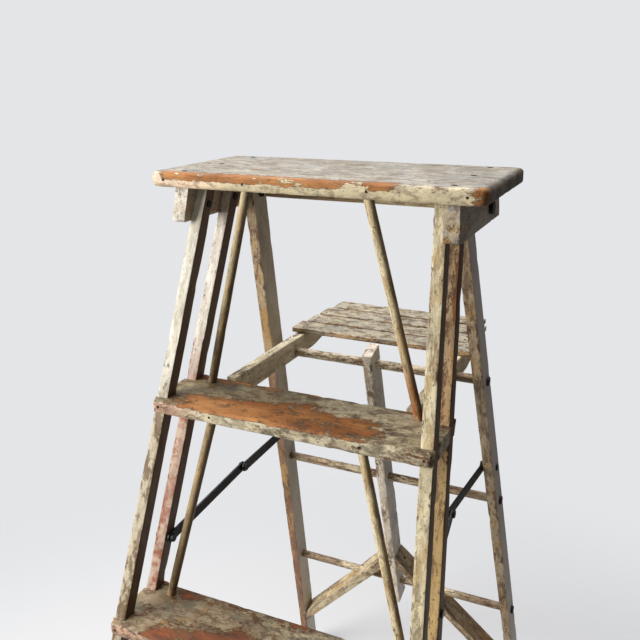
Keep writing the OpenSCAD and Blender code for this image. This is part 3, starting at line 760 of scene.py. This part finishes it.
def tread(which):
    """A board notched round both pairs of rails. Its rear edge is worn only between the rails."""
    z = TREAD_Z[which]
    half = outer_x(z) + TREAD_OVER
    nose = front_y(z) - TREAD_LIP
    rear = nose + TREAD_D
    inner = inner_x(z) - SLIP
    depth = RAIL_D / math.cos(FRONT_TILT)
    c = TREAD_CORNER
    right = arc(half - c, nose + c, c, -90, 90)
    for y in (front_y(z), back_y(z)):
        right += [(half, y - SLIP, 0), (inner, y - SLIP, 0), (inner, y + depth + SLIP, 0),
                  (half, y + depth + SLIP, 0)]
    square_to, worn_from = 2, 22
    right += [(half - 1, rear, 0), (inner - square_to, rear, 0), (inner - worn_from, rear, 1)]
    left = [(-x, y, f) for x, y, f in reversed(right)]
    skew = (0, -math.tan(FRONT_LEAN))

    def place(u, v, w):
        return Vector((u, min(v, rear), z - TREAD_T + w))

    plate("timber_tread_" + which, "tread_" + which, tread_paint(which, z), right + left, TREAD_T,
          place, lambda u, v, w: (v, w, u), r=6, r_low=4, skew=skew, chips=2.5)


def cap():
    c, w, d = CAP_CORNER, CAP_W / 2, CAP_D
    outline = (arc(w - c, c, c, -90, 90) + arc(w - c, d - c, c, 0, 90)
               + arc(c - w, d - c, c, 90, 90) + arc(c - w, c, c, 180, 90))
    plate("timber_cap", "cap_board", mat_cap, outline, CAP_T,
          lambda u, v, h: Vector((u, CAP_FRONT + v, CAP_BOTTOM + h)), lambda u, v, h: (v, h, u),
          r=7, r_low=6, chips=2.5)


def brackets():
    """Boards on edge under the cap's ends, with a front end that slants inwards to the bottom."""
    front_gap, rear_gap, slant, c = 4, 6, 10, 5
    y0, y1 = CAP_FRONT + front_gap, CAP_FRONT + CAP_D - rear_gap
    low = (CAP_BOTTOM - BRACKET_DROP) / math.cos(SPLAY)
    high = CAP_BOTTOM / math.cos(SPLAY)
    outline = [(y1, low, 1), (y1, high, 0), (y0 + slant, high, 0)]
    outline += arc(y0 + c + 1, low + c, c, 190, 80)
    for side, mirror in (("left", True), ("right", False)):
        plate("timber_bracket_" + side, "cheek_bracket_" + side,
              mat_bracket_left if mirror else mat_bracket, outline, BRACKET_T,
              lambda u, v, h: FOOT + Y * u + V * (v - h * math.tan(SPLAY)) + N * h,
              lambda u, v, h: (v, h, u), r=2, mirror=mirror, chips=1.2)


def sway_rods():
    """Each rod runs from 75 mm in at a board's front edge out to the back rail at the tread below."""
    top_in, top_back, foot_in, foot_back, sunk = 75, 10, 25, 6, 3
    boards = [(TOP, CAP_T, CAP_FRONT)]
    boards += [(TREAD_Z[k], TREAD_T, front_y(TREAD_Z[k]) - TREAD_LIP) for k in ("upper", "middle")]
    for (z, t, nose), which in zip(boards, ("upper", "middle", "lower")):
        low = TREAD_Z[which]
        top = Vector((inner_x(z - t) - top_in, nose + top_back, z - t))
        foot = Vector((inner_x(low) - foot_in, back_y(low) + foot_back, low))
        for side, s in (("left", -1), ("right", 1)):
            a = Vector((s * foot.x, foot.y, foot.z))
            b = Vector((s * top.x, top.y, top.z))
            rod("turned_rod_%s_%s" % (which, side), "sway_rod_%s_%s" % (which, side),
                mat_rod_upper if which == "upper" else mat_rod, a, b, ROD_R,
                ends=(plane_end(a - UP * sunk, UP), plane_end(b + UP * sunk, UP)))


def stop_rod():
    """A rod behind the rear rails, just under the pivot, that stops them from opening further."""
    drop, gap, into_bracket = 3, 0.3, 10
    z = PIVOT_Z - drop
    behind = REAR_D / 2 + RUNG_R + gap + drop * math.sin(REAR_LEAN)
    y = PIVOT_Y + behind / math.cos(REAR_LEAN)
    x = outer_x(z) + into_bracket
    rod("turned_stop_rod", "stop_rod", mat_rod, Vector((-x, y, z)), Vector((x, y, z)), RUNG_R)


# ---------------------------------------------------------------- rear frame
REAR_UP = Vector((0, -math.sin(REAR_LEAN), math.cos(REAR_LEAN)))
REAR_OUT = Vector((0, math.cos(REAR_LEAN), math.sin(REAR_LEAN)))
PIVOT = Vector((0, PIVOT_Y, PIVOT_Z))


def rear_drop(z):
    return (PIVOT_Z - z) / math.cos(REAR_LEAN)


def rear_rails():
    axes = side_axes(-REAR_TILT)
    mid = -REAR_INSET - REAR_W / 2
    v = (PIVOT_Z - mid * math.sin(SPLAY)) / math.cos(SPLAY)
    origin = FOOT + Y * PIVOT_Y + V * v
    half = REAR_D / 2

    def top(base, D):
        return math.sqrt(REAR_TOP_R ** 2 - min(half, abs((base - origin).dot(axes[1]))) ** 2)

    for side, mirror in (("left", True), ("right", False)):
        bar("timber_rear_rail_" + side, "rear_rail_" + side,
            mat_rear_left if mirror else mat_rear_right, origin, axes,
            (-REAR_INSET - REAR_W, -REAR_INSET), (-half, half), (FLOOR_END, top), mirror=mirror)


def rungs():
    for which, z in RUNG_Z.items():
        x = outer_x(z) - REAR_INSET + RUNG_PROUD
        rod("turned_rung_" + which, "rung_" + which, mat_rung, Vector((-x, rear_y(z), z)),
            Vector((x, rear_y(z), z)), RUNG_R - SLIP)


def centre_stile():
    """The middle upright, with its lower end cut to a lopsided point."""
    above, below, left_cut, right_cut = 28, 58, 18, 9
    top = -rear_drop(RUNG_Z["upper"]) + above
    tip = -rear_drop(RUNG_Z["lower"]) - below
    w = REAR_W / 2
    outline = [(-w, tip + left_cut, 1), (w / 2, tip, 1), (w, tip + right_cut, 1), (w, top, 1),
               (-w, top, 1)]

    def place(u, v, h):
        return PIVOT + ACROSS * u + REAR_UP * v + REAR_OUT * (h - REAR_D / 2)

    plate("timber_centre_stile", "centre_stile", mat_stile, outline, REAR_D, place,
          lambda u, v, h: (u, h, v), r=2.5, chips=1.6)


def braces():
    """The V of two braces from the centre stile's lower part out to the rear rails' feet."""
    top_z, foot_z = 425, 150
    corner = PIVOT + ACROSS * (REAR_W / 2) - REAR_UP * rear_drop(top_z)
    drop = rear_drop(foot_z) - rear_drop(top_z)
    run = rear_inner_x(foot_z) - REAR_W / 2
    along = (ACROSS * run - REAR_UP * drop).normalized()
    below = along.cross(REAR_OUT).normalized()
    if below.z > 0:
        below = -below
    stile = plane_end(Vector((REAR_W / 2 + SLIP, 0, 0)), ACROSS)
    rail = plane_end(FOOT + N * (-REAR_INSET - REAR_W - SLIP), N)
    for side, mirror in (("left", True), ("right", False)):
        bar("timber_brace_" + side, "diagonal_brace_" + side, mat_rear, corner,
            (below, REAR_OUT, along), (0, REAR_W), (-REAR_D / 2, REAR_D / 2), (stile, rail),
            mirror=mirror)


# ---------------------------------------------------------------- pail shelf
SHELF_SLOPE = math.radians(1)
SHELF_BACK = Vector((0, math.cos(SHELF_SLOPE), -math.sin(SHELF_SLOPE)))
SHELF_UP = Vector((0, math.sin(SHELF_SLOPE), math.cos(SHELF_SLOPE)))
SHELF = Vector((0, rear_y(RUNG_Z["upper"]), RUNG_Z["upper"]))
ARM_X, ARM_T, ARM_LOW, ARM_TOP = {"left": -157, "right": 128}, 16, -12, 24
SLAT_FIRST, SLAT_REAR, SLAT_W, SLAT_T, SLAT_GAP = 31, 230, 46, 9, 5


def shelf_arms():
    """Arms notched at the front to hook under the tread, full to 73 mm, then tapering to the rear."""
    lo, hi = ARM_LOW, ARM_TOP
    front, rear, full, tip, notch_l, notch_drop = -243, 216, 73, 10, 35, 18
    outline = [(front, lo + 6, 1), (front + 10, lo, 1), (full, lo, 1), (rear, hi - tip, 1),
               (rear, hi, 1), (front + notch_l, hi, 1), (front + notch_l, hi - notch_drop, 1),
               (front, hi - notch_drop, 1)]
    for side, x in ARM_X.items():
        plate("timber_arm_" + side, "shelf_arm_" + side, mat_arm, outline, ARM_T,
              lambda u, v, w: SHELF + ACROSS * (x + w) + SHELF_BACK * u + SHELF_UP * v,
              lambda u, v, w: (v, w, u), r=1.8, chips=1.2)


def shelf_slats():
    """Slats that grow shorter at the right towards the rear, with ragged ends."""
    ragged_left, ragged_right = (0, 2.5, 1, 3), (1.5, 0, 2, 0)
    short, shorter = 6, 3
    pitch = (SLAT_REAR - SLAT_FIRST - SLAT_W) / 3
    for i in range(4):
        y = SLAT_FIRST + i * pitch
        half = rear_inner_x(RUNG_Z["upper"] + (y + SLAT_W) * math.cos(REAR_LEAN)) - SLAT_GAP
        start = SHELF + SHELF_BACK * y + SHELF_UP * ARM_TOP
        cut_left = -half + ragged_left[i]
        cut_right = half - short - shorter * i - ragged_right[i]
        ends = (plane_end(Vector((cut_left, 0, 0)), ACROSS),
                plane_end(Vector((cut_right, 0, 0)), ACROSS))
        bar("timber_slat_%d" % (i + 1), "shelf_slat_%d" % (i + 1), mat_slat, start,
            (SHELF_BACK, SHELF_UP, ACROSS), (0, SLAT_W), (0, SLAT_T), ends,
            r=1.6, wobble=1.0, chips=3.0, step=7)


for build in (front_rails, cap, brackets, sway_rods, stop_rod, rear_rails, rungs, centre_stile,
              braces, shelf_arms, shelf_slats):
    build()
for which in TREAD_Z:
    tread(which)

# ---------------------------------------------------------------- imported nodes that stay
STEEL_NODES = [n for n in frame["nodes"] if SLOT[n] == "black_steel"]
NAIL_NODES = [n for n in frame["nodes"] if SLOT[n] == "rusty_steel"]
for names, mat in ((STEEL_NODES, mat_black), (NAIL_NODES, mat_rust)):
    for n in names:
        for s in frame["nodes"][n].material_slots:
            s.material = mat


# ---------------------------------------------------------------- floor, light and camera
def floor():
    """A pale floor that fades into the backdrop at its rim."""
    mesh = bpy.data.meshes.new("floor")
    bm = bmesh.new()
    bmesh.ops.create_circle(bm, cap_ends=True, radius=1.6, segments=96)
    bm.to_mesh(mesh)
    bm.free()
    obj = bpy.data.objects.new("floor", mesh)
    bpy.context.scene.collection.objects.link(obj)
    g = Graph("floor_paint")
    length = g.tree.nodes.new("ShaderNodeVectorMath")
    length.operation = "LENGTH"
    g.join(g.place(), length.inputs[0])
    fade = g.band(length.outputs["Value"], 0.5, 1.5)
    clear = g.tree.nodes.new("ShaderNodeBsdfTransparent")
    blend = g.tree.nodes.new("ShaderNodeMixShader")
    g.bsdf.inputs["Base Color"].default_value = (0.60, 0.60, 0.61, 1)
    g.bsdf.inputs["Roughness"].default_value = 0.9
    g.join(fade, blend.inputs[0])
    g.join(g.bsdf.outputs[0], blend.inputs[1])
    g.join(clear.outputs[0], blend.inputs[2])
    g.join(blend.outputs[0], g.out.inputs[0])
    mesh.materials.append(g.mat)


def backdrop():
    """A plain pale backdrop for the camera, and a dimmer room that lights the ladder."""
    world = bpy.data.worlds.new("studio")
    bpy.context.scene.world = world
    world.use_nodes = True
    t = world.node_tree
    t.nodes.clear()
    out = t.nodes.new("ShaderNodeOutputWorld")
    seen = t.nodes.new("ShaderNodeBackground")
    seen.inputs[0].default_value = (0.775, 0.785, 0.805, 1)
    light = t.nodes.new("ShaderNodeBackground")
    light.inputs[0].default_value = (0.97, 0.95, 0.92, 1)
    light.inputs[1].default_value = 0.15
    path = t.nodes.new("ShaderNodeLightPath")
    pick = t.nodes.new("ShaderNodeMixShader")
    t.links.new(path.outputs["Is Camera Ray"], pick.inputs[0])
    t.links.new(light.outputs[0], pick.inputs[1])
    t.links.new(seen.outputs[0], pick.inputs[2])
    t.links.new(pick.outputs[0], out.inputs[0])


def softbox(name, place, aim, size, power, colour):
    data = bpy.data.lights.new(name, "AREA")
    data.shape = "RECTANGLE"
    data.size, data.size_y = size
    data.energy = power
    data.color = colour
    obj = bpy.data.objects.new(name, data)
    bpy.context.scene.collection.objects.link(obj)
    obj.location = place
    obj.rotation_euler = (Vector(aim) - Vector(place)).to_track_quat("-Z", "Y").to_euler()


def camera():
    """The photograph's view: 42.7 mm lens, 24.5 degrees round to the right, 17.9 degrees down."""
    data = bpy.data.cameras.new("camera")
    data.sensor_width = 36
    data.lens = 42.73
    data.clip_start, data.clip_end = 0.05, 60
    obj = bpy.data.objects.new("camera", data)
    bpy.context.scene.collection.objects.link(obj)
    yaw, pitch, roll = math.radians(24.549), math.radians(17.901), math.radians(-0.3165)
    level = Vector((math.cos(yaw), math.sin(yaw), 0))
    ahead = Vector((-level.y, level.x, 0)) * math.cos(pitch) - UP * math.sin(pitch)
    above = level.cross(ahead)
    right = level * math.cos(roll) + above * math.sin(roll)
    up = above * math.cos(roll) - level * math.sin(roll)
    turn = Matrix((right, up, -ahead)).transposed()
    obj.matrix_world = Matrix.Translation((0.41691, -0.95663, 1.3444)) @ turn.to_4x4()
    bpy.context.scene.camera = obj


bpy.context.scene.view_settings.view_transform = "Standard"
floor()
backdrop()
softbox("window", (-1.9, -1.7, 1.6), (0, 0, 0.85), (1.5, 1.9), 100, (1.0, 0.98, 0.94))
softbox("overhead", (-0.6, 0.9, 3.4), (0, 0, 0.8), (2.2, 2.2), 110, (0.97, 0.98, 1.0))
camera()
